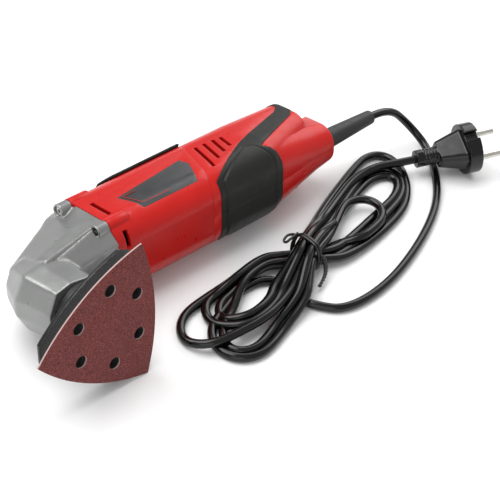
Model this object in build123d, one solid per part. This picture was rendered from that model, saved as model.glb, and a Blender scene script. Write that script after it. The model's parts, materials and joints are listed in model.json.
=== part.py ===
from build123d import *
import math
import os

# Oscillating multi-tool with a delta sanding plate, mains cord and contour plug, in millimetres.
# The tool is drawn in its own axes first: X runs rearward along the motor axis, the spindle points
# to -Y and the name plate faces +Z. It is then rolled onto the table: its belly and one corner of
# the sanding plate stand on Z = 0. The cord, its hank and the plug are drawn straight on the table.

# ---- driving dimensions -------------------------------------------------------------------------
PAD_SIDE = 93.0          # delta abrasive sheet, corner to corner
PAD_BULGE = 8.0          # outward bow of each edge
PAD_FACE = -74.5         # Y of the abrasive face
SHEET = 1.3              # abrasive sheet with its loop backing
FOAM = 7.2               # foam pad
PLATE = 3.0              # carrier plate
HOLE_RADIUS = 4.0        # dust holes
HOLE_CIRCLE = 25.8       # their distance from the spindle axis
HOLE_SPREAD = 26.6       # degrees each side of a corner

BODY_DEPTH = 30.0        # half depth of the motor housing (Y)
BODY_WIDTH = 28.0        # half width of the motor housing (Z)
BODY_ROUND = 18.0        # corner radius of its section
WALL = 2.6               # wall of the plastic shells
JOINT_X = 47.0           # gearbox to motor housing
SEAM_X = 138.5           # motor housing to handle, measured on the motor axis
SEAM_LEAN = 19.8         # lean of that seam, degrees
TAIL_X = 251.0           # rear end of the handle
TAIL_Y = -11.5           # the cord leaves below the motor axis
SLEEVE_TIP = 303.5       # free end of the cord sleeve

RIM_Y = -46.0            # lower face of the gearbox barrel
BOSS_Y = 17.5            # gearbox screws
BOSS_Z = 23.4
BOSS_X = 38.0
SPINDLE_R = 6.0
SHAFT_R = 4.0
ECCENTRIC = 0.75         # throw of the eccentric pin
FORK_GAP = 1.75          # play between eccentric bearing and each fork tine

CORD_R = 3.0
PIN_R = 2.4
PIN_LENGTH = 19.0
PIN_PITCH = 19.0
PLUG_R = 18.7

ROLL = 11.2              # roll of the lying tool
DROP = 31.4              # height of the motor axis over the table
SHIFT_X = -124.9         # centres the tool on the table origin
SHIFT_Y = 24.0

FIT = 0.03               # shaft and bearing fits
SPLIT = 0.02             # gap where two shells meet

os.makedirs("parts", exist_ok=True)
LIE_DOWN = Location((SHIFT_X, SHIFT_Y, DROP)) * Location((0, 0, 0), (-ROLL, 0, 0))
ON_TABLE = Location((SHIFT_X, SHIFT_Y, 0))


def save(name, shape, place=LIE_DOWN):
    """Write one sub-part in the part's own frame."""
    solids = shape.solids() if hasattr(shape, "solids") else [shape]
    whole = solids[0] if len(solids) == 1 else Compound(children=list(solids))
    export_step(place * whole, f"parts/{name}.step")


# ---- small shape helpers ------------------------------------------------------------------------
def rod_x(x0, x1, radius, y=0.0, z=0.0, top=None):
    """Cylinder or cone along X."""
    place = Plane(origin=(x0, y, z), x_dir=(0, 1, 0), z_dir=(1, 0, 0))
    if top is None:
        body = Cylinder(radius, x1 - x0, align=(Align.CENTER, Align.CENTER, Align.MIN))
    else:
        body = Cone(radius, top, x1 - x0, align=(Align.CENTER, Align.CENTER, Align.MIN))
    return place * body


def rod_y(y0, y1, radius, x=0.0, z=0.0):
    """Cylinder along Y."""
    place = Plane(origin=(x, y0, z), x_dir=(1, 0, 0), z_dir=(0, 1, 0))
    return place * Cylinder(radius, y1 - y0, align=(Align.CENTER, Align.CENTER, Align.MIN))


def rod_z(z0, z1, radius, x, y):
    """Cylinder along Z."""
    body = Cylinder(radius, z1 - z0, align=(Align.CENTER, Align.CENTER, Align.MIN))
    return Location((x, y, z0)) * body


def block(x0, x1, y0, y1, z0, z1):
    """Box between two corners."""
    body = Box(x1 - x0, y1 - y0, z1 - z0)
    return Location(((x0 + x1) / 2, (y0 + y1) / 2, (z0 + z1) / 2)) * body


def section(x, low, high, half, corner, inset=0.0):
    """Rounded-rectangle section of the body across X."""
    place = Plane(origin=(x, (low + high) / 2, 0), x_dir=(0, 1, 0), z_dir=(1, 0, 0))
    depth = high - low - 2 * inset
    width = 2 * (half - inset)
    return place * RectangleRounded(depth, width, max(corner - inset, 0.8))


def outline_z(points, z0, z1):
    """Prism along Z from an outline in X and Y."""
    face = make_face(Polyline(*points, close=True))
    return Location((0, 0, z0)) * extrude(face, z1 - z0)


def outline_y(points, y):
    """Flat face across Y from an outline in X and Z."""
    place = Plane(origin=(0, y, 0), x_dir=(1, 0, 0), z_dir=(0, -1, 0))
    return place * make_face(Polyline(*points, close=True))


def mirrored(points):
    """Close a half outline over its own mirror image in the second coordinate."""
    return points + [(a, -b) for a, b in reversed(points)]


# ---- outer bodies -------------------------------------------------------------------------------
def motor_body(inset=0.0, x0=JOINT_X, x1=152.0):
    front = section(x0, -BODY_DEPTH + 0.5, BODY_DEPTH - 0.5, BODY_WIDTH - 0.5, BODY_ROUND, inset)
    back = section(x1, -BODY_DEPTH, BODY_DEPTH, BODY_WIDTH, BODY_ROUND, inset)
    return loft([front, back], ruled=True)


# X, lowest Y, highest Y, half width, corner radius of the handle's barrel and of its tail
BARREL_END = 246.0
TAIL_START = 186.0
TAIL_RIDGE = [(TAIL_START, -14.0), (TAIL_X, 3.5)]
HANDLE_SECTIONS = [
    (120.0, -BODY_DEPTH, BODY_DEPTH, BODY_WIDTH, BODY_ROUND),
    (188.0, -BODY_DEPTH, BODY_DEPTH, BODY_WIDTH, BODY_ROUND),
    (237.0, -12.0, 29.0, 24.5, 14.0),
    (BARREL_END, -6.0, 14.0, 14.0, 9.0),
]
TAIL_SECTIONS = [
    (TAIL_START, -30.0, 28.0, 27.5, 18.0),
    (236.0, -25.5, 20.0, 17.5, 16.0),
    (TAIL_X, -24.0, 17.0, 15.0, 13.5),
]


def handle_body(inset=0.0):
    barrel = loft([section(*s, inset) for s in HANDLE_SECTIONS], ruled=True)
    tail = loft([section(*s, inset) for s in TAIL_SECTIONS], ruled=True)
    (x0, y0), (x1, y1) = TAIL_RIDGE
    tail &= outline_z([(x0, -60), (x1, -60), (x1, y1 - inset), (x0, y0 - inset)], -60, 60)
    if inset:
        tail &= block(100, TAIL_X - inset, -60, 60, -60, 60)
        barrel &= block(100, BARREL_END - inset, -60, 60, -60, 60)
    return barrel + tail


def behind_seam(gap=0.0):
    """Everything behind the leaning seam between motor housing and handle."""
    cut = Box(400, 300, 300, align=(Align.MIN, Align.CENTER, Align.CENTER))
    return Location((SEAM_X + gap, 0, 0)) * Location((0, 0, 0), (0, 0, -SEAM_LEAN)) * cut


def four(make):
    """Union of one feature repeated at the four gearbox screw positions."""
    shape = None
    for y in (-BOSS_Y, BOSS_Y):
        for z in (-BOSS_Z, BOSS_Z):
            item = make(y, z)
            shape = item if shape is None else shape + item
    return shape


# ---- gearbox ------------------------------------------------------------------------------------
def head_section(x, low, high, half, top_cut_y, top_cut_z, low_cut):
    """Chamfered section of the gearbox casting: a deep chamfer on the back corners."""
    half_outline = [
        (high, half - top_cut_z),
        (high - top_cut_y, half),
        (low + low_cut, half),
        (low, half - low_cut),
    ]
    place = Plane(origin=(x, 0, 0), x_dir=(0, 1, 0), z_dir=(1, 0, 0))
    return place * make_face(Polyline(*mirrored(half_outline), close=True))


def gearbox_housing():
    body = loft([
        head_section(-14.0, -30.0, 1.5, 18.0, 16.0, 5.0, 6.0),
        head_section(36.0, -28.5, 26.5, 26.0, 32.0, 10.0, 11.0),
        head_section(JOINT_X, -29.5, 29.5, 27.3, 20.0, 11.0, 11.0),
    ], ruled=True)
    barrel = loft([
        outline_y(mirrored([(-21.5, 4.5), (-15.6, 18.2), (-4, 20.6), (10, 18.6), (19.6, 8)]), RIM_Y),
        outline_y(mirrored([(-26.2, 5), (-18.5, 19.4), (-4, 22), (10, 20), (21, 9)]), -19.0),
        outline_y(mirrored([(-17.5, 5), (-13, 13.5), (-4, 16), (9, 15), (19, 8)]), 1.0),
    ], ruled=True)
    bosses = four(lambda y, z: rod_x(BOSS_X, JOINT_X, 4.8, y, z))
    shape = body + barrel + bosses
    room = rod_y(-34, -4.5, 15.5) + outline_z([(3, -21), (3, 2), (48, 21), (48, -21)], -15, 15)
    room += rod_x(JOINT_X - 6, JOINT_X + 1, 22.6)
    seats = rod_y(-44, -33, 14.0) + rod_y(-47, -43, 13.0) + rod_y(-5, 2.0, 7.5)
    screws = four(lambda y, z: rod_x(BOSS_X - 1, 42.2, 3.1, y, z) + rod_x(41, 48, 1.9, y, z))
    return shape - room - seats - screws


save("gearbox_housing", gearbox_housing())


def gearbox_screw(y, z):
    head = rod_x(39.4, 42.2, 2.9, y, z) - rod_x(38.0, 41.0, 1.4, y, z)
    return head + rod_x(42.2, 61.0, 1.75, y, z)


save("gearbox_screws", four(gearbox_screw))
save("spindle_bearing_lower", rod_y(-44, -36, 14.0 - FIT) - rod_y(-45, -35, SPINDLE_R + FIT))
save("spindle_bearing_upper", rod_y(-3, 2, 7.5 - FIT) - rod_y(-4, 3, 4.5 + FIT))
SEAL = rod_y(-51, RIM_Y, 18.6) + rod_y(RIM_Y, -44.2, 12.9) - rod_y(-60, -40, 10.6)
save("spindle_seal", SEAL)

# ---- oscillating unit: fork, spindle, flange, sanding plate -------------------------------------
SPINDLE = rod_y(-61, -9, SPINDLE_R) + rod_y(-9, 1.6, 4.5) - rod_y(-62, -49, 3.0 + FIT)
save("spindle", SPINDLE)

TINE = 8.0 + FORK_GAP
FORK = rod_y(-20, -10.2, 10.5) + block(6, 33.5, -20, -10.2, -13.2, 13.2)
for side in (-1, 1):
    FORK += block(23, 33.5, -11, 6, min(side * TINE, side * 13.2), max(side * TINE, side * 13.2))
FORK -= rod_y(-21, -9, SPINDLE_R + 0.01)
save("drive_fork", FORK)

PLATE_TOP = PAD_FACE + SHEET + FOAM + PLATE
FLANGE = rod_y(PLATE_TOP, -52.0, 14.0) - rod_y(-80, -61 + 0.01, 3.2) - rod_y(-61, -50, SPINDLE_R + 0.01)
save("tool_flange", FLANGE)


def delta_outline(reach, cut=0.0, edge_in=0.0):
    """Rounded delta in X and Z: three bowed edges between corners `reach` from the axis."""
    bow = PAD_BULGE * reach * math.sqrt(3) / PAD_SIDE
    chord = reach * math.sqrt(3)
    radius = (chord * chord / 4 + bow * bow) / (2 * bow)
    shape = None
    for angle in (0, 120, 240):
        turn = math.radians(angle)
        centre = reach / 2 + bow - radius
        disc = Location((centre * math.cos(turn), centre * math.sin(turn))) * Circle(radius - edge_in)
        shape = disc if shape is None else shape & disc
    if cut:
        shape = shape & RegularPolygon(cut, 3, major_radius=False)
    return shape


REACH = PAD_SIDE / math.sqrt(3)


def delta(y0, y1, reach, cut=0.0, edge_in=0.0):
    """Delta-shaped slab between two heights, with the six dust holes."""
    slab = extrude(delta_outline(reach, cut, edge_in), y1 - y0)
    place = Plane(origin=(0, y1, 0), x_dir=(1, 0, 0), z_dir=(0, -1, 0))
    slab = place * slab
    for corner in (60, 180, 300):
        for side in (-1, 1):
            turn = math.radians(corner + side * HOLE_SPREAD)
            x, z = HOLE_CIRCLE * math.cos(turn), HOLE_CIRCLE * math.sin(turn)
            slab -= rod_y(y0 - 1, y1 + 1, HOLE_RADIUS, x, z)
    return slab


SHEET_TOP = PAD_FACE + SHEET
FOAM_TOP = SHEET_TOP + FOAM
CORNER_CUT = 46.5
save("sanding_sheet", delta(PAD_FACE, SHEET_TOP, REACH))
save("sanding_foam", delta(SHEET_TOP, FOAM_TOP, REACH, CORNER_CUT, 0.8) - rod_y(-80, -60, 11.0))
save("sanding_plate", delta(FOAM_TOP, PLATE_TOP, REACH, CORNER_CUT - 1.5, 2.0) - rod_y(-80, -55, 3.2))
save("clamp_washer", rod_y(FOAM_TOP - 1.5, FOAM_TOP, 9.0) - rod_y(-80, -60, 3.1))
SCREW_HEAD = FOAM_TOP - 1.5
CLAMP_SCREW = rod_y(SCREW_HEAD - 3.6, SCREW_HEAD, 5.2) + rod_y(SCREW_HEAD, -50, 3.0)
save("clamp_screw", CLAMP_SCREW - rod_y(SCREW_HEAD - 4, SCREW_HEAD - 1.6, 2.5))

# ---- rotor --------------------------------------------------------------------------------------
SHAFT = rod_x(33, 131, SHAFT_R) + rod_x(131, 138, 3.5)
save("rotor_shaft", SHAFT)
ECC = rod_x(22.5, 33, SHAFT_R, 0, ECCENTRIC)
save("eccentric_pin", ECC)
save("eccentric_bearing", rod_x(24.5, 31.5, 8.0, 0, ECCENTRIC) - rod_x(24, 32, SHAFT_R + 0.01, 0, ECCENTRIC))


def cooling_fan():
    fan = rod_x(53, 55, 21.5) + rod_x(53, 62, 8.0)
    for k in range(11):
        blade = block(55, 62, 7.0, 21.0, -0.8, 0.8)
        fan += Location((0, 0, 0), (360 / 11 * k, 0, 0)) * blade
    return fan - rod_x(52, 63, SHAFT_R + 0.01)


save("cooling_fan", cooling_fan())


def armature_core():
    core = rod_x(72, 110, 14.8)
    for k in range(12):
        slot = block(71, 111, 10.5, 15.5, -1.1, 1.1)
        core -= Location((0, 0, 0), (30 * k, 0, 0)) * slot
    return core - rod_x(71, 111, SHAFT_R + 0.01)


save("armature_core", armature_core())
WINDING = rod_x(66, 72, 13.0) + rod_x(110, 115.5, 13.0) - rod_x(60, 120, SHAFT_R + 0.01)
save("armature_windings", WINDING)


def commutator():
    ring = rod_x(116.5, 128.5, 9.0)
    for k in range(24):
        groove = block(116, 129, 8.3, 9.5, -0.25, 0.25)
        ring -= Location((0, 0, 0), (15 * k, 0, 0)) * groove
    return ring - rod_x(116, 129, SHAFT_R + 0.01)


save("commutator", commutator())

# ---- fixed motor pieces -------------------------------------------------------------------------
FRONT_BEARING = rod_x(42, 49, 11.0) - rod_x(41, 50, SHAFT_R + FIT)
save("rotor_bearing_front", FRONT_BEARING)
save("rotor_bearing_rear", rod_x(131.5, 137.5, 9.5) - rod_x(131, 138, 3.5 + FIT))
PLATE_DISC = rod_x(47, 50, 22.4) + rod_x(41, 48, 14.0) - rod_x(41.9, 49.1, 11.0 + FIT)
save("bearing_plate", PLATE_DISC - rod_x(40, 52, 6.5))


def stator_core():
    shape = loft([section(x, -23.2, 23.2, 24.0, 12.0) for x in (71.0, 111.0)], ruled=True)
    shape -= rod_x(70, 112, 15.4)
    return shape - field_coils(0.15)


def sector(x0, x1, inner, outer, start, end):
    """Ring segment around the motor axis; angles in degrees from +Y towards +Z."""
    steps = 10
    turns = [math.radians(start + (end - start) * k / steps) for k in range(steps + 1)]
    points = [(outer * math.cos(t), outer * math.sin(t)) for t in turns]
    points += [(inner * math.cos(t), inner * math.sin(t)) for t in reversed(turns)]
    place = Plane(origin=(x0, 0, 0), x_dir=(0, 1, 0), z_dir=(1, 0, 0))
    return place * extrude(make_face(Polyline(*points, close=True)), x1 - x0)


def field_coils(grow=0.0):
    """Two coils: each lies in a pair of stator slots and arches over a pole at both ends."""
    coils = None
    for base in (0, 180):
        for start, end in ((base + 20, base + 44), (base + 136, base + 160)):
            bar = sector(65 - grow, 117 + grow, 16.0 - grow, 21.0 + grow, start - grow, end + grow)
            coils = bar if coils is None else coils + bar
        if not grow:
            coils += sector(64.5, 70.8, 16.0, 21.0, base + 20, base + 160)
            coils += sector(111.2, 117.5, 16.0, 21.0, base + 20, base + 160)
    return coils


save("stator_core", stator_core())
save("field_coils", field_coils())

HOLDER_OUT = BODY_WIDTH - 5.7
BRUSHES = None
HOLDERS = None
SPRINGS = None
for side in (-1, 1):
    near, far = sorted((side * 9.2, side * 19.0))
    brush = block(120.2, 126.8, -3.2, 3.2, near, far)
    near, far = sorted((side * 11.0, side * HOLDER_OUT))
    holder = block(119.0, 128.0, -4.4, 4.4, near, far)
    near, far = sorted((side * 10.0, side * (HOLDER_OUT - 0.8)))
    holder -= block(120.1, 126.9, -3.3, 3.3, near, far)
    near, far = sorted((side * 19.0, side * (HOLDER_OUT - 0.8)))
    spring = rod_z(near, far, 2.4, 123.5, 0) - rod_z(near - 1, far + 1, 1.4, 123.5, 0)
    BRUSHES = brush if BRUSHES is None else BRUSHES + brush
    HOLDERS = holder if HOLDERS is None else HOLDERS + holder
    SPRINGS = spring if SPRINGS is None else SPRINGS + spring
save("carbon_brushes", BRUSHES)
save("brush_holders", HOLDERS)
save("brush_springs", SPRINGS)

# ---- motor housing, its back panel, slide switch and name plate ---------------------------------
BACK_OUTLINE = [(80, 26.5), (92, 22), (160, 22), (160, 45), (80, 45)]
NAME_OUTLINE = [(70.4, -1.8), (77, -19.9), (122.7, -20.4), (131.9, -2.5), (130.2, 4.6), (128.5, 4.8)]


def housing_skin(outer, inner):
    """Thin layer of the motor housing between two insets; negative stands proud."""
    skin = motor_body(-outer, 60.0, 160.0) - motor_body(inner, 59.0, 161.0)
    return skin - behind_seam(-0.6)


BACK_PANEL = housing_skin(0.9, 1.4) & outline_z(BACK_OUTLINE, -40, 40)
NAME_PLATE = housing_skin(0.1, 0.7) & outline_z(NAME_OUTLINE, 5, 40)
SWITCH_SLOT = block(84.0, 113.0, 20, 45, -4.5, 4.5)


def motor_housing():
    outer = motor_body() - behind_seam()
    inner = motor_body(WALL, 50.0, 160.0)
    shape = outer - inner
    shape -= rod_x(46, 51, 22.5)
    shape += four(lambda y, z: rod_x(JOINT_X, 62, 5.0, y, z))
    shape += four(lambda y, z: rod_x(62, 68, 5.0, y, z, 1.5)) & motor_body(-1.6)
    for y in (-1, 1):
        for z in (-1, 1):
            shape += block(71, 111, *sorted((y * 23.25, y * 28.2)), *sorted((z * 7, z * 9)))
            shape += block(71, 111, *sorted((y * 7, y * 9)), *sorted((z * 24.05, z * 26.2)))
    collar = motor_body(WALL - 0.4, 121.0, 127.5) - motor_body(4.6, 120.0, 129.0)
    spigot = motor_body(WALL + 0.2, 127.0, 139.0) - motor_body(4.6, 126.0, 140.0)
    bridge = motor_body(4.4, 129.0, 131.4) + rod_x(129.0, 137.5, 12.0)
    bridge -= rod_x(131.5, 138, 9.5 + FIT) + rod_x(128, 132, 5.5)
    for angle in (45, 135, 225, 315):
        bridge -= sector(128, 132, 13.5, 20.5, angle - 28, angle + 28)
    shape += collar + spigot + bridge
    shape -= four(lambda y, z: rod_x(46, 61.5, 1.75 + FIT, y, z))
    for side in (-1, 1):
        shape -= block(53.5, 56.5, -13, 5, *sorted((side * 20, side * 40)))
        shape -= block(53.5, 57.0, -40, -20, *sorted((side * 10, side * 21)))
    shape -= block(60, 160, 23.3, 26.7, -3.5, 3.5)
    shape -= SWITCH_SLOT
    return shape - BACK_PANEL - NAME_PLATE


save("motor_housing", motor_housing())
save("back_panel", BACK_PANEL - SWITCH_SLOT)
save("name_plate", NAME_PLATE)

BUTTON = block(92.4, 112.4, 31.3, 33.6, -8.0, 8.0) + block(95, 112, 26.0, 31.5, -4.0, 4.0)
for k in range(4):
    BUTTON -= block(96 + 3.5 * k, 97.5 + 3.5 * k, 32.8, 34, -9, 9)
save("slide_switch_button", BUTTON)
SWITCH_ROD = block(95, 166, 24.0, 26.0, -3.0, 3.0) + block(163, 166, 21.5, 24.0, -2.0, 2.0)
save("switch_rod", SWITCH_ROD)
SWITCH = block(153, 178, 5.0, 23.0, -9.0, 9.0) - block(155.0, 167.0, 20.0, 24.0, -2.6, 2.6)
save("switch_module", SWITCH)

# ---- handle shells and soft grips ---------------------------------------------------------------
GRIP_OUTLINE = [
    (134.5, -40), (134.5, -25.5), (173.7, -6.7), (226, 10.6), (233, 16), (233, 45),
    (238.5, 45), (238.5, 6), (231.3, 0.1), (183.4, -18.5), (192, -25), (196, -40),
]
VENTS = [((149.0, 9.5), (141.5, -16.4)), ((156.6, 9.2), (150.8, -11.5)),
         ((164.2, 8.8), (159.6, -7.9)), ((170.6, 8.0), (167.7, -5.2))]
# Screw place and the depth of the seat under its head.
HANDLE_SCREWS = [(146.0, -18.5, -21.0), (184.0, 18.0, -21.0), (216.0, -17.5, -16.5), (214.0, 17.5, -21.0)]
OUTER = handle_body()
INNER = handle_body(WALL)
GRIP_LAYER = (handle_body(-0.5) - handle_body(1.4)) & outline_z(GRIP_OUTLINE, -60, 60)
GRIP_LAYER &= behind_seam(0.4)
DIAL_X, DIAL_Y, DIAL_R = 232.0, 17.6, 8.0
DIAL_SLOT = block(DIAL_X - 9, DIAL_X + 9, DIAL_Y - 8, 45, -3.2, 3.2)
GRIP_LAYER -= DIAL_SLOT


def vent_slot(start, end, half=1.3):
    """Slanted slot through both side walls."""
    dx, dy = end[0] - start[0], end[1] - start[1]
    length = math.hypot(dx, dy)
    nx, ny = -dy / length * half, dx / length * half
    corners = [(start[0] + nx, start[1] + ny), (end[0] + nx, end[1] + ny),
               (end[0] - nx, end[1] - ny), (start[0] - nx, start[1] - ny)]
    return outline_z(corners, -60, 60)


def handle_shell():
    shape = (OUTER - INNER) & behind_seam(SPLIT)
    for x, y, _ in HANDLE_SCREWS:
        shape += rod_z(-24, 24, 4.4, x, y) & OUTER
    for start, end in VENTS:
        shape -= vent_slot(start, end)
    shape -= rod_x(TAIL_X - 8, TAIL_X + 7, 7.7, TAIL_Y)
    return shape - GRIP_LAYER - DIAL_SLOT


HALF_UP = block(100, 300, -60, 60, SPLIT / 2, 60)
HALF_LOW = block(100, 300, -60, 60, -60, -SPLIT / 2)
SHELL = handle_shell()
upper = SHELL & HALF_UP
lower = SHELL & HALF_LOW
for x, y, seat in HANDLE_SCREWS:
    upper -= rod_z(-1, 13, 1.75 + 0.02, x, y)
    lower -= rod_z(-30, 1, 2.0, x, y) + rod_z(-60, seat, 3.9, x, y)
save("handle_shell_label_side", upper)
save("handle_shell_screw_side", lower)
save("soft_grip_label_side", GRIP_LAYER & HALF_UP)
screw_wells = None
for x, y, _ in HANDLE_SCREWS:
    well = rod_z(-60, -10, 4.2, x, y)
    screw_wells = well if screw_wells is None else screw_wells + well
save("soft_grip_screw_side", (GRIP_LAYER & HALF_LOW) - screw_wells)

screws = None
for x, y, seat in HANDLE_SCREWS:
    one = rod_z(seat - 2.4, seat, 3.5, x, y) + rod_z(seat, 12.0, 1.75, x, y)
    one -= rod_z(seat - 3.0, seat - 1.2, 1.5, x, y)
    screws = one if screws is None else screws + one
save("handle_screws", screws)

# ---- electrics in the handle, cord entry --------------------------------------------------------
DIAL = rod_z(-2.6, 2.6, DIAL_R, DIAL_X, DIAL_Y) - rod_z(-5, 5, 1.5 + FIT, DIAL_X, DIAL_Y)
for k in range(18):
    turn = math.radians(20 * k)
    DIAL -= rod_z(-5, 5, 0.5, DIAL_X + DIAL_R * math.cos(turn), DIAL_Y + DIAL_R * math.sin(turn))
save("speed_dial", DIAL)
CHEEK_X0, CHEEK_X1 = DIAL_X - 3.5, DIAL_X + 3.5
CHEEKS = block(CHEEK_X0, CHEEK_X1, 4.0, 19.6, 3.4, 5.4) + block(CHEEK_X0, CHEEK_X1, 4.0, 19.6, -5.4, -3.4)
DIAL_AXLE = rod_z(-5.4, 5.4, 1.5, DIAL_X, DIAL_Y)
save("dial_bracket", CHEEKS + DIAL_AXLE + block(CHEEK_X0, CHEEK_X1, 4.0, 8.0, -5.4, 5.4))
save("speed_board", block(184, 238, 2.2, 4.0, -14.0, 14.0))
save("suppression_capacitor", block(188, 206, -10.0, 2.2, -8.0, 8.0))
save("triac_heatsink", block(209, 221, -7.0, 2.2, -9.0, 9.0) - block(211, 219, -8.0, -1.0, -10, 10))

COLLAR = TAIL_X - 4.0
SLEEVE = rod_x(COLLAR, SLEEVE_TIP, 7.6, TAIL_Y, 0, 5.2) + rod_x(COLLAR - 4.5, COLLAR, 8.4, TAIL_Y)
SLEEVE += rod_x(COLLAR, TAIL_X, 7.6, TAIL_Y)
save("cord_sleeve", SLEEVE - rod_x(230, 310, CORD_R + 0.02, TAIL_Y))
save("cord_inner", rod_x(223.0, SLEEVE_TIP, CORD_R, TAIL_Y))
CLAMP_X = 231.0
CLAMP = None
for side in (-1, 1):
    near, far = sorted((side * (CORD_R - 0.4), side * 6.0))
    bar = block(CLAMP_X - 4, CLAMP_X + 4, TAIL_Y - 8.8, TAIL_Y + 8.8, near, far)
    bar -= rod_x(CLAMP_X - 5, CLAMP_X + 5, CORD_R + 0.02, TAIL_Y)
    CLAMP = bar if CLAMP is None else CLAMP + bar
for apart in (-5.8, 5.8):
    CLAMP -= rod_z(-7, 7, 1.52, CLAMP_X, TAIL_Y + apart)
save("cord_clamp", CLAMP)
clamp_screws = None
for apart in (-5.8, 5.8):
    one = rod_z(-6, 6, 1.5, CLAMP_X, TAIL_Y + apart) + rod_z(6, 8, 2.8, CLAMP_X, TAIL_Y + apart)
    clamp_screws = one if clamp_screws is None else clamp_screws + one
save("cord_clamp_screws", clamp_screws)

# ---- cord on the table --------------------------------------------------------------------------
# Route points are in the tool's X, the table's depth measured from the spindle axis, and height.
EXIT = (SLEEVE_TIP, TAIL_Y * math.cos(math.radians(ROLL)),
        DROP - TAIL_Y * math.sin(math.radians(ROLL)))
LEAD_ROUTE = [
    EXIT,
    (EXIT[0] + 22, EXIT[1], EXIT[2]),
    (345, -19, 15),
    (349, -38, 3.2),
    (331, -61, 3.1),
    (303, -86, 3.0),
    (260, -106, 3.0),
    (208, -121, 3.0),
    (166, -121, 3.0),
    (151, -104, 3.0),
]


def cord_tube(name, route):
    """Round cord along straight runs joined by the largest arcs that the runs allow."""
    points = [Vector(p) for p in route]
    radii = []
    for a, b, c in zip(points, points[1:], points[2:]):
        turn = math.radians((b - a).get_angle(c - b))
        radii.append(0.45 * min((b - a).length, (c - b).length) / math.tan(turn / 2))
    if radii:
        line = FilletPolyline(*points, radius=radii)
    else:
        line = Line(*points)
    start = Plane(origin=points[0], z_dir=(points[1] - points[0]))
    tube = sweep(start * Circle(CORD_R), path=line)
    expected = math.pi * CORD_R ** 2 * line.length
    print(name, "length", round(line.length, 1), "volume ratio", round(tube.volume / expected, 3),
          "radii", [round(r, 1) for r in radii])
    save(name, tube, ON_TABLE)


cord_tube("cord_lead", LEAD_ROUTE)
PLUG_ENTRY = Vector(317.6, -49.3, 13.0)
PLUG_AIM = Vector(math.cos(math.radians(-26.9)), math.sin(math.radians(-26.9)), 0.155).normalized()
PLUG_RUN = 13.0
cord_tube("cord_plug_run", [PLUG_ENTRY - PLUG_AIM * PLUG_RUN, PLUG_ENTRY])

HANK_TOP = 12.5          # two layers of cord
WAIST_TOP = 22.5         # four layers where the tie gathers them
WAIST_X, WAIST_Y = 177.0, -71.5
TIE_HALF = 2.0
TIE_THICK = 1.2
HANK_OUTLINE = [
    (60, -77), (64, -62), (88, -54), (122, -52), (150, -54), (168, -59), (186, -59), (206, -46),
    (240, -32), (283, -18), (305, -20), (315, -32), (314, -44), (300, -62), (276, -79), (240, -87),
    (205, -91), (186, -83.5), (170, -84), (151, -103.5), (124, -112), (98, -118), (80, -113),
    (72, -100), (62, -90),
]


def hank(inset=0.0):
    """Two layers of turns, heaped up to four at the waist."""
    flat = make_face(Polyline(*HANK_OUTLINE, close=True))
    base = extrude(offset(flat, amount=-inset) if inset else flat, HANK_TOP - 2 * inset)
    foot = Location((WAIST_X, WAIST_Y, 0)) * Rectangle(64 - 2 * inset, 24 - 2 * inset)
    crown = Location((WAIST_X, WAIST_Y, WAIST_TOP - inset)) * Rectangle(26, 20 - 2 * inset)
    return base + loft([foot, crown], ruled=True)


SLAB = block(WAIST_X - TIE_HALF, WAIST_X + TIE_HALF, -120, -30, -5, 40)
CORE = Location((0, 0, TIE_THICK)) * (hank(TIE_THICK) & block(0, 400, -130, 0, 0, WAIST_TOP - 2 * TIE_THICK))
TIE = (SLAB & hank()) - CORE
save("cord_hank", hank() - TIE, ON_TABLE)
save("cord_tie", TIE, ON_TABLE)

# ---- plug ---------------------------------------------------------------------------------------
PIN_LEAN = 20.0          # turn of the pins about the plug's own axis
PIN_ROOT = 7.0           # pin held in the moulding, on a thinner root
ROOT_R = 1.9
ROOT_SHOWS = 0.5
PLUG_PLANE = Plane(origin=PLUG_ENTRY, x_dir=PLUG_AIM.cross(Vector(0, 0, 1)), z_dir=PLUG_AIM)
NECK, SHOULDER, DISC_BACK, DISC_FACE = 19.0, 17.0, 36.0, 46.0


def plug_body():
    neck = Cylinder(6.4, NECK, align=(Align.CENTER, Align.CENTER, Align.MIN))
    for k in range(5):
        ring = Cylinder(8, 0.9, align=(Align.CENTER, Align.CENTER, Align.MIN))
        ring -= Cylinder(5.6, 0.9, align=(Align.CENTER, Align.CENTER, Align.MIN))
        neck -= Location((0, 0, 6 + 2.3 * k)) * ring
    slim = Location((0, 0, SHOULDER)) * RectangleRounded(17, 13, 3)
    wide = Location((0, 0, DISC_BACK + 1)) * RectangleRounded(28, 20, 5)
    body = loft([slim, wide], ruled=True)
    disc = Location((0, 0, DISC_BACK)) * Cylinder(
        PLUG_R, DISC_FACE - DISC_BACK, align=(Align.CENTER, Align.CENTER, Align.MIN))
    for side in (-1, 1):
        disc -= Location((0, side * PLUG_R, (DISC_BACK + DISC_FACE) / 2)) * Box(6, 8, 12)
    shape = neck + body + disc
    for side in (-1, 1):
        shape -= Location((side * PIN_PITCH / 2, 0, DISC_FACE - PIN_ROOT)) * Cylinder(
            ROOT_R + 0.01, PIN_ROOT + 1, align=(Align.CENTER, Align.CENTER, Align.MIN))
    return shape


def plug_pins():
    shape = None
    for side in (-1, 1):
        one = Location((side * PIN_PITCH / 2, 0, DISC_FACE + ROOT_SHOWS)) * Cylinder(
            PIN_R, PIN_LENGTH - ROOT_SHOWS, align=(Align.CENTER, Align.CENTER, Align.MIN))
        one += Location((side * PIN_PITCH / 2, 0, DISC_FACE - PIN_ROOT)) * Cylinder(
            ROOT_R, PIN_ROOT + ROOT_SHOWS, align=(Align.CENTER, Align.CENTER, Align.MIN))
        shape = one if shape is None else shape + one
    return shape


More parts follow.
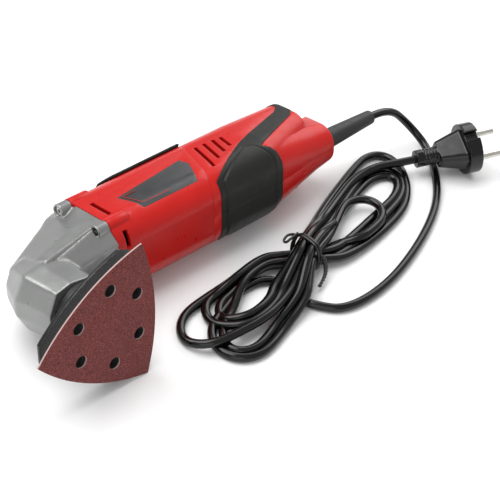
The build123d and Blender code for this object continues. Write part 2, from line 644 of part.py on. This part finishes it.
TURN_PLUG = PLUG_PLANE * Rotation(0, 0, PIN_LEAN)
save("plug_body", ON_TABLE * (TURN_PLUG * plug_body()), Location((0, 0, 0)))
save("plug_pins", ON_TABLE * (TURN_PLUG * plug_pins()), Location((0, 0, 0)))
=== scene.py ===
import math

import bmesh
import bpy
from mathutils import Matrix, Vector, noise
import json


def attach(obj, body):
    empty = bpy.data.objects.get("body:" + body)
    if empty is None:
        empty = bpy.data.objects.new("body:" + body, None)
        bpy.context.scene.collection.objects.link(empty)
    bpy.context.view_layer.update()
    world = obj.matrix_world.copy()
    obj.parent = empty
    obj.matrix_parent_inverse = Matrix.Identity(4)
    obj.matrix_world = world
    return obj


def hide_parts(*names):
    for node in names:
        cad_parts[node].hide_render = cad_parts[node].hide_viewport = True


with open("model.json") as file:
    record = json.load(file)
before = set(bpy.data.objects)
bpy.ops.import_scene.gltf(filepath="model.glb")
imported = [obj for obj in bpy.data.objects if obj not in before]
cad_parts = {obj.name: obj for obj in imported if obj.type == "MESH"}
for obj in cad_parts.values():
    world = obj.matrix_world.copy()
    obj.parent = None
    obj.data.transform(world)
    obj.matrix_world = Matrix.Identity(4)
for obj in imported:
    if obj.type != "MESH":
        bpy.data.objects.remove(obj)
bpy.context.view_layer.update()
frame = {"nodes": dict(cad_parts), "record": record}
RECORD = frame["record"]
MM = 0.001

# The sanding face's mount gives the spindle axis, and with it the tool's own axes: the origin is where
# the spindle axis meets the motor axis, PAD_DEPTH behind the abrasive face.
PAD_DEPTH = 74.5
MOUNT = next(m for m in RECORD["mounts"] if m["name"] == "sanding_face")
DOWN_SPINDLE = Vector(MOUNT["axis"]).normalized()
ORIGIN = Vector(MOUNT["pos_m"]) - DOWN_SPINDLE * PAD_DEPTH * MM
SIDE = Vector((1, 0, 0)).cross(-DOWN_SPINDLE)
TO_ROW = Matrix((
    (1, -DOWN_SPINDLE.x, SIDE.x, ORIGIN.x),
    (0, -DOWN_SPINDLE.y, SIDE.y, ORIGIN.y),
    (0, -DOWN_SPINDLE.z, SIDE.z, ORIGIN.z),
    (0, 0, 0, 1),
))
FROM_ROW = TO_ROW.inverted()


def tool_coords(point):
    """A point's place in the tool's own axes, in millimetres."""
    return (FROM_ROW @ point) / MM


def tool_point(x, y, z):
    """Point given in the tool's own axes, in millimetres."""
    return TO_ROW @ (Vector((x, y, z)) * MM)


def table_point(x, y, z):
    """Point given on the table: X along the tool, Y from the spindle axis, height; in millimetres."""
    return Vector((ORIGIN.x + x * MM, ORIGIN.y + y * MM, z * MM))


# ---- camera -------------------------------------------------------------------------------------
CAMERA_PLACE = (-0.5688, -0.4857, 0.6507)
CAMERA_RIGHT = (0.6997, -0.7009, 0.1388)
CAMERA_BACK = (-0.5992, -0.4698, 0.6482)
# The photo's camera is taken as 108 mm; a little shorter and shifted, it keeps the plug's pins in view.
LENS = 107.4
LENS_SHIFT = 0.004


def make_camera():
    right = Vector(CAMERA_RIGHT).normalized()
    back = Vector(CAMERA_BACK).normalized()
    up = back.cross(right).normalized()
    data = bpy.data.cameras.new("camera")
    data.sensor_width = 36
    data.lens = LENS
    data.shift_x = LENS_SHIFT
    data.clip_start = 0.05
    data.clip_end = 20
    camera = bpy.data.objects.new("camera", data)
    turn = Matrix((right, up, back)).transposed()
    camera.matrix_world = Matrix.Translation(CAMERA_PLACE) @ turn.to_4x4()
    bpy.context.scene.collection.objects.link(camera)
    bpy.context.scene.camera = camera


make_camera()


# ---- node material helpers ----------------------------------------------------------------------
# The mix node's colour sockets share their names with its other kinds, so they go by number.
MIX_FIRST, MIX_SECOND, MIX_RESULT = 6, 7, 2
CLOUD_SCALE = 38
GLOSS_SCALE = 160
GRIT_DARK, GRIT, GRIT_LIGHT = (0.045, 0.006, 0.006), (0.135, 0.019, 0.017), (0.3, 0.07, 0.065)
PAPER = (0.46, 0.33, 0.31)


def new_material(name):
    material = bpy.data.materials.new(name)
    material.use_nodes = True
    tree = material.node_tree
    tree.nodes.clear()
    output = tree.nodes.new("ShaderNodeOutputMaterial")
    shader = tree.nodes.new("ShaderNodeBsdfPrincipled")
    tree.links.new(shader.outputs["BSDF"], output.inputs["Surface"])
    return material, tree, shader


def add_noise(tree, scale, detail=3.0, stretch=None):
    """Noise in the object's own coordinates; stretch squeezes it along each axis."""
    place = tree.nodes.new("ShaderNodeTexCoord")
    source = place.outputs["Object"]
    if stretch:
        mapping = tree.nodes.new("ShaderNodeMapping")
        mapping.inputs["Scale"].default_value = stretch
        tree.links.new(source, mapping.inputs["Vector"])
        source = mapping.outputs["Vector"]
    texture = tree.nodes.new("ShaderNodeTexNoise")
    texture.inputs["Scale"].default_value = scale
    texture.inputs["Detail"].default_value = detail
    tree.links.new(source, texture.inputs["Vector"])
    return texture.outputs["Fac"]


def add_ramp(tree, source, stops):
    ramp = tree.nodes.new("ShaderNodeValToRGB")
    elements = ramp.color_ramp.elements
    while len(elements) < len(stops):
        elements.new(0.5)
    for element, (position, colour) in zip(elements, stops):
        element.position = position
        element.color = (*colour, 1)
    tree.links.new(source, ramp.inputs["Fac"])
    return ramp.outputs["Color"]


def grey(value):
    return (value, value, value)


def add_bump(tree, shader, source, depth, strength=1.0):
    bump = tree.nodes.new("ShaderNodeBump")
    bump.inputs["Distance"].default_value = depth
    bump.inputs["Strength"].default_value = strength
    tree.links.new(source, bump.inputs["Height"])
    tree.links.new(bump.outputs["Normal"], shader.inputs["Normal"])


def mixed(colour, factor):
    return tuple(min(1.0, c * factor) for c in colour)


def blended(tree, factor, source, colour):
    """Colour socket that goes over into a plain colour as the factor rises to 1."""
    mix = tree.nodes.new("ShaderNodeMix")
    mix.data_type = "RGBA"
    tree.links.new(factor, mix.inputs["Factor"])
    tree.links.new(source, mix.inputs[MIX_FIRST])
    mix.inputs[MIX_SECOND].default_value = (*colour, 1)
    return mix.outputs[MIX_RESULT]


def cloudy_edged_colour(tree, base, amount, edge):
    """Base colour with a faint cloudiness, going over to a lighter edge colour on sharp convex edges."""
    darker, lighter = mixed(base, 1 - amount), mixed(base, 1 + amount)
    cloud = add_ramp(tree, add_noise(tree, CLOUD_SCALE, 4), [(0.3, darker), (0.7, lighter)])
    if edge is None:
        return cloud
    geometry = tree.nodes.new("ShaderNodeNewGeometry")
    # Where pointiness marks a sharp convex edge, the colour goes over towards the lighter edge colour.
    edge_share = add_ramp(tree, geometry.outputs["Pointiness"], [(0.52, grey(0)), (0.62, grey(0.5))])
    return blended(tree, edge_share, cloud, edge)


def coated(name, base, rough, grain, depth, amount, metallic=0.0, coat=0.0, edge=None, specular=0.5,
           stretch=None):
    """Moulded, cast or drawn surface: cloudy colour, uneven gloss and a fine grain in relief."""
    material, tree, shader = new_material(name)
    tree.links.new(cloudy_edged_colour(tree, base, amount, edge), shader.inputs["Base Color"])
    uneven = add_noise(tree, GLOSS_SCALE, 3, stretch)
    gloss = add_ramp(tree, uneven, [(0.3, grey(rough - 0.05)), (0.7, grey(rough + 0.07))])
    tree.links.new(gloss, shader.inputs["Roughness"])
    shader.inputs["Metallic"].default_value = metallic
    shader.inputs["Coat Weight"].default_value = coat
    shader.inputs["Coat Roughness"].default_value = 0.18
    shader.inputs["Specular IOR Level"].default_value = specular
    add_bump(tree, shader, add_noise(tree, grain, 0, stretch), depth)
    return material


def abrasive_material():
    """Speckled grit on the flat faces, pale paper and loop backing on the cut edges."""
    material, tree, shader = new_material("abrasive")
    speckle = add_noise(tree, 1900, 2)
    grit = add_ramp(tree, speckle, [(0.36, GRIT_DARK), (0.5, GRIT), (0.66, GRIT_LIGHT)])
    geometry = tree.nodes.new("ShaderNodeNewGeometry")
    facing = tree.nodes.new("ShaderNodeVectorMath")
    facing.operation = "DOT_PRODUCT"
    facing.inputs[1].default_value = DOWN_SPINDLE
    tree.links.new(geometry.outputs["Normal"], facing.inputs[0])
    cut = add_ramp(tree, facing.outputs["Value"], [(0.45, grey(1)), (0.6, grey(0))])
    tree.links.new(blended(tree, cut, grit, PAPER), shader.inputs["Base Color"])
    shader.inputs["Roughness"].default_value = 0.82
    add_bump(tree, shader, add_noise(tree, 2300, 2), 0.0004, 0.9)
    return material


def foam_material():
    material, tree, shader = new_material("foam")
    pores = tree.nodes.new("ShaderNodeTexVoronoi")
    pores.inputs["Scale"].default_value = 1100
    place = tree.nodes.new("ShaderNodeTexCoord")
    tree.links.new(place.outputs["Object"], pores.inputs["Vector"])
    colour = add_ramp(tree, pores.outputs["Distance"], [(0.1, grey(0.003)), (0.6, grey(0.014))])
    tree.links.new(colour, shader.inputs["Base Color"])
    shader.inputs["Roughness"].default_value = 0.9
    add_bump(tree, shader, pores.outputs["Distance"], 0.0006)
    return material


# Each look: base colour, roughness, grain (its scale) and its depth in metres, and how cloudy it is.
LOOKS = {
    "cast_housing": dict(base=(0.25, 0.255, 0.25), rough=0.32, grain=500, depth=0.00002, amount=0.08,
                         metallic=0.6, coat=0.15, edge=(0.42, 0.42, 0.41)),
    "red_plastic": dict(base=(0.47, 0.008, 0.006), rough=0.32, grain=700, depth=0.00001, amount=0.05,
                        coat=0.04, edge=(0.54, 0.02, 0.015), specular=0.25),
    "soft_grip": dict(base=(0.009, 0.009, 0.008), rough=0.48, grain=900, depth=0.00004, amount=0.12,
                      specular=0.3),
    "black_plastic": dict(base=grey(0.006), rough=0.3, grain=900, depth=0.00002, amount=0.12,
                          edge=grey(0.02), specular=0.35),
    "label": dict(base=(0.035, 0.036, 0.038), rough=0.32, grain=700, depth=0.00001, amount=0.1,
                  metallic=0.2),
    "steel": dict(base=(0.55, 0.55, 0.54), rough=0.3, grain=1200, depth=0.00004, amount=0.08,
                  metallic=1.0),
    "lamination": dict(base=(0.3, 0.3, 0.31), rough=0.5, grain=1500, depth=0.0001, amount=0.1,
                       metallic=0.9, stretch=(14, 1, 1)),
    "copper": dict(base=(0.68, 0.3, 0.13), rough=0.3, grain=1500, depth=0.0001, amount=0.1, metallic=1.0),
    "carbon": dict(base=grey(0.03), rough=0.6, grain=2000, depth=0.0001, amount=0.1),
    "rubber_seal": dict(base=grey(0.012), rough=0.5, grain=1200, depth=0.0001, amount=0.15),
    "cord_jacket": dict(base=grey(0.002), rough=0.17, grain=300, depth=0.00001, amount=0.1, specular=0.4),
    "tie_wire": dict(base=grey(0.006), rough=0.25, grain=900, depth=0.00003, amount=0.15),
    "pin_metal": dict(base=(0.62, 0.6, 0.55), rough=0.24, grain=1000, depth=0.00003, amount=0.08,
                      metallic=1.0),
    "board": dict(base=(0.05, 0.2, 0.07), rough=0.4, grain=900, depth=0.00006, amount=0.15),
    "heatsink": dict(base=(0.7, 0.7, 0.71), rough=0.35, grain=1200, depth=0.00006, amount=0.08,
                     metallic=1.0, stretch=(1, 12, 1)),
}
MATERIALS = {slot: coated(slot, **look) for slot, look in LOOKS.items()}
MATERIALS["foam"] = foam_material()
MATERIALS["abrasive"] = abrasive_material()


def paint(obj, slot):
    obj.data.materials.clear()
    obj.data.materials.append(MATERIALS[slot])


SLOT_OF = {part["node"]: part["material_slot"] for part in RECORD["subparts"]}
BODY_OF = {node: body for body, nodes in RECORD["behaviour"]["bodies"].items() for node in nodes}
for node, cad in frame["nodes"].items():
    paint(cad, SLOT_OF[node])


# ---- mesh helpers -------------------------------------------------------------------------------
WELD = 0.002 * MM
FLAT_WITHIN = math.radians(0.6)
BEVEL_FROM = math.radians(32)
SHARP_FROM = math.radians(35)


def link(obj):
    bpy.context.scene.collection.objects.link(obj)
    return obj


def finish_piece(obj, slot, body, *nodes):
    paint(obj, slot)
    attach(obj, body)
    if nodes:
        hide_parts(*nodes)
    return obj


def applied(obj):
    """Turn the modifiers of a fresh piece into plain mesh."""
    bpy.context.view_layer.update()
    graph = bpy.context.evaluated_depsgraph_get()
    mesh = bpy.data.meshes.new_from_object(obj.evaluated_get(graph))
    obj.modifiers.clear()
    obj.data = mesh
    return obj


def copied(node, name):
    """Welded copy of a CAD node's mesh as a new piece."""
    form = bmesh.new()
    form.from_mesh(frame["nodes"][node].data)
    bmesh.ops.remove_doubles(form, verts=form.verts, dist=WELD)
    mesh = bpy.data.meshes.new(name)
    form.to_mesh(mesh)
    form.free()
    return link(bpy.data.objects.new(name, mesh))


def moulded(node, name, width, segments=2):
    """Shell with its hard edges rounded as a moulding's are."""
    piece = copied(node, name)
    form = bmesh.new()
    form.from_mesh(piece.data)
    bmesh.ops.dissolve_limit(form, angle_limit=FLAT_WITHIN, verts=form.verts, edges=form.edges)
    form.to_mesh(piece.data)
    form.free()
    bevel = piece.modifiers.new("edges", "BEVEL")
    bevel.width = width * MM
    bevel.segments = segments
    bevel.limit_method = "ANGLE"
    bevel.angle_limit = BEVEL_FROM
    bevel.use_clamp_overlap = True
    applied(piece)
    piece.data.shade_smooth()
    piece.data.set_sharp_from_angle(angle=SHARP_FROM)
    return finish_piece(piece, SLOT_OF[node], BODY_OF[node], node)


def smoothed(piece, rounds, weight=None):
    """Smooth a piece, everywhere or as far as weight(x, y, z) in the tool's axes says."""
    smooth = piece.modifiers.new("round", "SMOOTH")
    smooth.factor = 0.5
    smooth.iterations = rounds
    if weight:
        group = piece.vertex_groups.new(name="soft")
        smooth.vertex_group = group.name
        for vertex in piece.data.vertices:
            share = weight(*tool_coords(vertex.co))
            if share > 0:
                group.add([vertex.index], min(1.0, share), "REPLACE")
    applied(piece)


def softened(node, name, voxel, rounds):
    """Copy of a CAD node with every edge softly rounded, by remeshing and smoothing."""
    piece = copied(node, name)
    remesh = piece.modifiers.new("skin", "REMESH")
    remesh.mode = "VOXEL"
    remesh.voxel_size = voxel * MM
    applied(piece)
    smoothed(piece, rounds)
    return piece


def cast(node, name, voxel, rounds):
    """Casting or rubber moulding."""
    piece = softened(node, name, voxel, rounds)
    piece.data.shade_smooth()
    return finish_piece(piece, SLOT_OF[node], BODY_OF[node], node)


# ---- cord ---------------------------------------------------------------------------------------
CORD_R = 3.0
TAIL_Y = -11.5
SLEEVE_TIP = 303.5
EXIT = tool_point(SLEEVE_TIP, TAIL_Y, 0)
LEAD_ROUTE = [
    (325.5, -11.28, 33.63), (345, -19, 15), (349, -38, 3.2), (331, -61, 3.1), (303, -86, 3),
    (260, -106, 3), (208, -121, 3), (166, -121, 3), (151, -104, 3),
    # under the hank to the first turn
    (148, -93, 3), (151, -83, 3), (149, -73, 3), (139, -66, 3),
]
# At the waist the strands from lower left to upper right lie over those from lower right to upper left,
# five of each, in two rows; a strand's lane says its place among the five, from the lower side.
WAIST = (177.0, -71.5)
STRAND = 6.1
OVER_LEFT, OVER_RIGHT, UNDER_RIGHT, UNDER_LEFT = 29.0, 20.0, -20.0, -28.0
OVER_ROWS = (14.2, 19.5)
UNDER_ROWS = (3.0, 8.3)

# Left loops: under lane, upper run, top, end, bottom with their heights, lower run, over lane.
LEFT_LOOPS = {
    "a": (0, (121, -65.5, 3), (98, -73, 3), (73.5, -97, 3), (98, -115, 3), (123, -107.5, 3.1), 0),
    "b": (4, (122, -56, 3), (90, -58, 3), (62, -77, 3), (84, -96, 8.5), (114, -98, 9.3), 2),
    "c": (2, (124, -62, 3), (114, -64.5, 3), (94.5, -77, 3.2), (111, -90, 9.3), (127, -87, 9.3), 4),
    "d": (1, (124, -64, 8.9), (104, -77, 4), (80, -97, 3), (100, -108.5, 3), (121, -101, 3.1), 1),
    "e": (3, (122, -58.8, 8.3), (106, -59.5, 3.5), (86.5, -76, 3.2), (105, -96, 9.3), (125, -93, 9.3), 3),
}
# Right loops: over lane, upper run, top, end, bottom, lower run, under lane.
RIGHT_LOOPS = {
    "small": (0, (219, -61, 9.6), (239, -50.5, 9), (259, -63, 9), (240, -80, 9.2), (222, -82, 9), 4),
    "middle": (2, (246, -45, 3.2), (281, -32, 3), (304, -47, 3), (271, -70, 3), (236, -77.8, 3), 2),
    "outer": (4, (242, -36, 3.2), (285, -21.5, 3), (314, -36, 3), (274, -76.5, 3), (238, -84, 3), 1),
    "inner": (1, (240, -50.5, 3.2), (277, -39, 3), (298, -50, 3), (266, -65.5, 3), (233, -71.7, 3), 3),
}
TURNS = [("a", "small"), ("b", "middle"), ("c", "outer"), ("d", "inner"), ("e", None)]
PLUG_RUN = [(244, -41.5, 6.5), (268, -33.5, 7), (290, -35, 9.4)]
PLUG_ENTRY = Vector((317.6, -49.3, 13.0))
PLUG_TURN = math.radians(-26.9)
PLUG_AIM = Vector((math.cos(PLUG_TURN), math.sin(PLUG_TURN), 0.155)).normalized()
PLUG_STRAIGHT = 13.0


def strand(lane, angle, distance, spacing, heights):
    """Point of one strand of the bundle, `distance` past the waist; odd lanes ride in the upper row."""
    turn = math.radians(angle)
    side = (lane - 2) * spacing
    x = WAIST[0] + math.cos(turn) * distance - math.sin(turn) * side
    y = WAIST[1] + math.sin(turn) * distance + math.cos(turn) * side
    return (x, y, heights[lane % 2])


def bend(top, end, bottom):
    """Half an ellipse from top through end to bottom, every 30 degrees."""
    middle = [(a + b) / 2 for a, b in zip(top, bottom)]
    points = []
    for degrees in range(90, -91, -30):
        turn = math.radians(degrees)
        out, up = 1.03 * math.cos(turn), math.sin(turn)
        x = middle[0] + out * (end[0] - middle[0]) + up * (top[0] - middle[0])
        y = middle[1] + out * (end[1] - middle[1]) + up * (top[1] - middle[1])
        z = end[2] + max(up, 0) * (top[2] - end[2]) + max(-up, 0) * (bottom[2] - end[2])
        points.append((x, y, z))
    return points


def left_loop(name, first):
    lane_in, upper, top, end, bottom, lower, lane_out = LEFT_LOOPS[name]
    points = []
    if not first:
        points.append(strand(lane_in, UNDER_RIGHT, 30, 5.2, (3, 5)))
        points.append(strand(lane_in, UNDER_LEFT, 15, 3.6, (3, 7.5)))
        for distance in (0, -15, -30):
            points.append(strand(lane_in, UNDER_LEFT, distance, STRAND / 2, UNDER_ROWS))
    points += [upper, *bend(top, end, bottom), lower]
    points.append(strand(lane_out, OVER_LEFT, -40, 5.8, (9.4, 9.4)))
    points.append(strand(lane_out, OVER_LEFT, -24, 4.2, (11.6, 14.8)))
    points.append(strand(lane_out, OVER_LEFT, -9, STRAND / 2, OVER_ROWS))
    return points


def over_to_right(lane, far=True):
    points = [strand(lane, OVER_RIGHT, 7, STRAND / 2, OVER_ROWS),
              strand(lane, OVER_RIGHT, 23, 3.4, (12, 16.5))]
    if far:
        points.append(strand(lane, OVER_RIGHT, 42, 4.6, (6.5, 9.5)))
    return points


def right_loop(name):
    lane_in, upper, top, end, bottom, lower, lane_out = RIGHT_LOOPS[name]
    return over_to_right(lane_in, name != "small") + [upper, *bend(top, end, bottom), lower]


def cord_route():
    route = list(LEAD_ROUTE)
    for left, right in TURNS:
        route += left_loop(left, left == "a")
        route += right_loop(right) if right else over_to_right(3) + PLUG_RUN
    points = [EXIT] + [table_point(*p) for p in route]
    points.append(table_point(*(PLUG_ENTRY - PLUG_AIM * PLUG_STRAIGHT)))
    points.append(table_point(*PLUG_ENTRY))
    return points


LENGTH_STEPS = 8
ROUND_STEPS = 5


def spline_curve(name, runs, radius, closed=False):
    data = bpy.data.curves.new(name, "CURVE")
    data.dimensions = "3D"
    data.bevel_depth = radius * MM
    data.bevel_resolution = ROUND_STEPS
    data.resolution_u = LENGTH_STEPS
    data.use_fill_caps = not closed
    for points in runs:
        spline = data.splines.new("NURBS")
        spline.points.add(len(points) - 1)
        for slot, point in zip(spline.points, points):
            slot.co = (*point, 1)
        spline.order_u = 3
        if closed:
            spline.use_cyclic_u = True
        else:
            spline.use_endpoint_u = True
    return link(bpy.data.objects.new(name, data))


def measured(curve):
    """Length of a curve's own line, in metres."""
    bevel, curve.data.bevel_depth = curve.data.bevel_depth, 0
    bpy.context.view_layer.update()
    line = bpy.data.meshes.new_from_object(curve.evaluated_get(bpy.context.evaluated_depsgraph_get()))
    curve.data.bevel_depth = bevel
    at = [v.co.copy() for v in line.vertices]
    return sum((b - a).length for a, b in zip(at, at[1:]))


cord = spline_curve("mains_cord", [cord_route()], CORD_R)
CORD_LENGTH = measured(cord)
finish_piece(cord, "cord_jacket", "tool", "cord_lead", "cord_hank", "cord_plug_run")


# ---- tie round the hank -------------------------------------------------------------------------
TIE_WIRE = 0.9
TIE_POINTS = 14
TIE_MIDDLE = 12.1
TIE_HALF_HEIGHT = 11.1
TIE_HALF_WIDTH = 12.2
KNOT, TAIL_TIP = Vector((179, -84.5, 16)), Vector((167, -95, 4))
TAIL_POINTS = 40
TAIL_TURNS = 5
TAIL_WINDING = 1.0
BOW = [(176, -60, 20), (173, -57, 20), (168, -57.5, 17), (167.5, -60.5, 17), (171, -62, 21),
       (176, -62.5, 23.2)]


def tie_loop(shift):
    """Squarish loop round the hank's waist, a little narrower at its top."""
    points = []
    for k in range(TIE_POINTS):
        turn = 2 * math.pi * k / TIE_POINTS
        out, up = math.cos(turn), math.sin(turn)
        y = WAIST[1] + TIE_HALF_WIDTH * math.copysign(abs(out) ** 0.6, out) * (1 - 0.12 * max(up, 0))
        z = TIE_MIDDLE + TIE_HALF_HEIGHT * math.copysign(abs(up) ** 0.7, up)
        points.append(table_point(WAIST[0] + shift + 0.8 * up, y, z))
    return points


def twisted_tail(phase):
    """One of two wires wound round the line from the knot to the tail's tip."""
    points = []
    for k in range(TAIL_POINTS):
        share = k / (TAIL_POINTS - 1)
        sag = math.sin(math.pi * share)
        centre = KNOT.lerp(TAIL_TIP, share) + Vector((5 * sag, 0, -3 * sag))
        turn = share * TAIL_TURNS * 2 * math.pi + phase
        centre += Vector((math.cos(turn), 0, math.sin(turn))) * TAIL_WINDING
        points.append(table_point(*centre))
    return points


def bow():
    """Small bent-over end of the wire on the far side."""
    return [table_point(*p) for p in BOW]


tie = spline_curve("hank_tie", [tie_loop(-1.1), tie_loop(1.1)], TIE_WIRE, closed=True)
finish_piece(tie, "tie_wire", "tool", "cord_tie")
tie_ends = spline_curve("hank_tie_ends", [twisted_tail(0), twisted_tail(math.pi), bow()], TIE_WIRE)
finish_piece(tie_ends, "tie_wire", "tool")


# ---- shells, castings and rubber mouldings ------------------------------------------------------
plug = cast("plug_body", "plug_moulding", 0.45, 3)
casting = cast("gearbox_housing", "gearbox_casting", 0.6, 5)
# The casting flows softly everywhere but at its bosses, its flange and the barrel's rim.
smoothed(casting, 50, lambda x, y, z: min((33 - x) / 8, (y + 43) / 5))
casting.data.shade_smooth()


RIB_START, RIB_END = Vector((38.0, -15.3, 26.9)), Vector((-3.0, -19.6, 22.5))
RIB_ROWS = 19
# Across the rib: sideways, and up from its crest.
RIB_PROFILE = ((-2.0, -3.5), (-1.2, -0.4), (-0.4, 0), (0.4, 0), (1.2, -0.4), (2.0, -3.5))


def cast_rib(side):
    """Straight rib from the lower screw boss to the spindle barrel."""
    form = bmesh.new()
    rows = []
    for k in range(RIB_ROWS):
        centre = RIB_START.lerp(RIB_END, k / (RIB_ROWS - 1))
        rows.append([form.verts.new(tool_point(centre.x, centre.y + width, side * (centre.z + height)))
                     for width, height in RIB_PROFILE])
    for before, after in zip(rows, rows[1:]):
        for k in range(len(before) - 1):
            form.faces.new((before[k], before[k + 1], after[k + 1], after[k]))
    form.faces.new(rows[0])
    form.faces.new(rows[-1])
    bmesh.ops.recalc_face_normals(form, faces=form.faces)
    mesh = bpy.data.meshes.new("casting_rib")
    form.to_mesh(mesh)
    form.free()
    mesh.shade_smooth()
    finish_piece(link(bpy.data.objects.new("casting_rib", mesh)), "cast_housing", "tool")


cast_rib(1)
cast_rib(-1)
cast("spindle_seal", "seal_ring", 0.5, 2)
moulded("motor_housing", "motor_shell", 0.5)
moulded("handle_shell_label_side", "handle_shell_label", 0.5)
moulded("handle_shell_screw_side", "handle_shell_screw", 0.5)


# The wide part of the grip carries a raised panel with a shallow groove round it.
PANEL = [(140.0, -60), (140.0, -26.5), (171.0, -13.0), (178.0, -15.5), (184.5, -25.5), (190.0, -60)]
PANEL_RISE = 0.55
GROOVE_DEPTH = 0.5
GROOVE = 1.1


def inside_by(x, y):
    """Distance from the panel's outline, positive inside it; the outline is convex."""
    nearest = 1000.0
    for (x0, y0), (x1, y1) in zip(PANEL, PANEL[1:]):
        run = math.hypot(x1 - x0, y1 - y0)
        nearest = min(nearest, ((y1 - y0) * (x - x0) - (x1 - x0) * (y - y0)) / run)
    return nearest


def panelled(grip):
    """Raise the panel on a grip's outer face and sink the groove round it."""
    moves = []
    for vertex in grip.data.vertices:
        x, y, z = tool_coords(vertex.co)
        depth = inside_by(x, y)
        outward = FROM_ROW.to_3x3() @ vertex.normal
        if depth < -GROOVE or outward.y * y + outward.z * z < 0:
            continue
        share = min(1.0, max(0.0, depth / GROOVE))
        groove = max(0.0, 1 - abs(depth) / GROOVE)
        moves.append((vertex.index, vertex.normal * (share * PANEL_RISE - groove * GROOVE_DEPTH) * MM))
    for index, move in moves:
        grip.data.vertices[index].co += move
    grip.data.shade_smooth()


panelled(cast("soft_grip_label_side", "grip_label", 0.4, 2))
panelled(cast("soft_grip_screw_side", "grip_screw", 0.4, 2))
cast("slide_switch_button", "switch_button", 0.3, 3)


FLANK_RISE = 1.6
FLANK_FROM = 9.5
FLANK_SLOPE = 3
FACE_FULL = 25


def switch_panel():
    """Panel of the slide switch; its long flanks stand higher than its flat middle."""
    panel = cast("back_panel", "switch_panel", 0.4, 2)
    moves = []
    for vertex in panel.data.vertices:
        x, y, z = tool_coords(vertex.co)
        outward = FROM_ROW.to_3x3() @ vertex.normal
        flank = min(1.0, max(0.0, (abs(z) - FLANK_FROM) / FLANK_SLOPE))
        facing = min(1.0, max(0.0, (outward.y * y + outward.z * z) / FACE_FULL))
        moves.append(vertex.normal * (flank * facing) * FLANK_RISE * MM)
    for vertex, move in zip(panel.data.vertices, moves):
        vertex.co += move
    panel.data.shade_smooth()


switch_panel()
moulded("name_plate", "label_plate", 0.15)
LABEL_LINE = [(101, -18.0), (79.2, -17.6), (78.4, -17.0), (73.6, -4.6), (73.9, -3.6), (84, -3.8)]
LABEL_FACE = 28.05
line_points = [tool_point(x, y, LABEL_FACE) for x, y in LABEL_LINE]
label_line = spline_curve("label_line", [line_points], 0.2)
finish_piece(label_line, "red_plastic", "tool")
moulded("sanding_plate", "pad_plate", 0.5)
moulded("cord_sleeve", "bend_sleeve", 0.6, 3)
moulded("tool_flange", "flange", 0.5)


# ---- sanding pad --------------------------------------------------------------------------------
SHEET = 1.3
FOAM = 7.2
WAIST_HALF = 3.4
RIM_FROM = 30


def foam_pad():
    """Die-cut foam: its sides pull in a little between the sheet and the plate."""
    pad = softened("sanding_foam", "foam_pad", 0.7, 3)
    axis_point = Vector(MOUNT["pos_m"])
    middle = SHEET + FOAM / 2
    for vertex in pad.data.vertices:
        rise = -(vertex.co - axis_point).dot(DOWN_SPINDLE) / MM
        waist = max(0.0, 1 - ((rise - middle) / WAIST_HALF) ** 2)
        out = vertex.co - axis_point
        out -= DOWN_SPINDLE * out.dot(DOWN_SPINDLE)
        if out.length > RIM_FROM * MM:
            pull = 0.5 * waist + 0.15 * noise.noise(vertex.co * 300)
            vertex.co -= out.normalized() * pull * MM
    pad.data.shade_smooth()
    return finish_piece(pad, "foam", "oscillator", "sanding_foam")


foam_pad()
moulded("sanding_sheet", "abrasive_sheet", 0.25)


# ---- floor and light ----------------------------------------------------------------------------
def make_floor():
    form = bmesh.new()
    bmesh.ops.create_grid(form, x_segments=2, y_segments=2, size=4)
    mesh = bpy.data.meshes.new("floor")
    form.to_mesh(mesh)
    form.free()
    floor = link(bpy.data.objects.new("floor", mesh))
    material = coated("floor", grey(0.86), 0.7, 30, 0.0001, 0.01)
    mesh.materials.append(material)


LIGHTS_AIM = Vector((0, 0, 0.03))


def make_light(name, place, size, power):
    data = bpy.data.lights.new(name, "AREA")
    data.size = size
    data.energy = power
    lamp = link(bpy.data.objects.new(name, data))
    lamp.location = place
    lamp.rotation_euler = (LIGHTS_AIM - Vector(place)).to_track_quat("-Z", "Y").to_euler()


make_floor()
make_light("key", (-0.4, 0.6, 1.5), 1.5, 30)
make_light("fill", (-1.2, -1.2, 0.7), 1.3, 6)
make_light("rim", (1.2, 0.4, 0.9), 1.0, 8)
world = bpy.data.worlds.new("studio")
world.use_nodes = True
world.node_tree.nodes["Background"].inputs["Color"].default_value = (1, 1, 1, 1)
world.node_tree.nodes["Background"].inputs["Strength"].default_value = 0.55
bpy.context.scene.world = world
bpy.context.scene.view_settings.view_transform = "Standard"
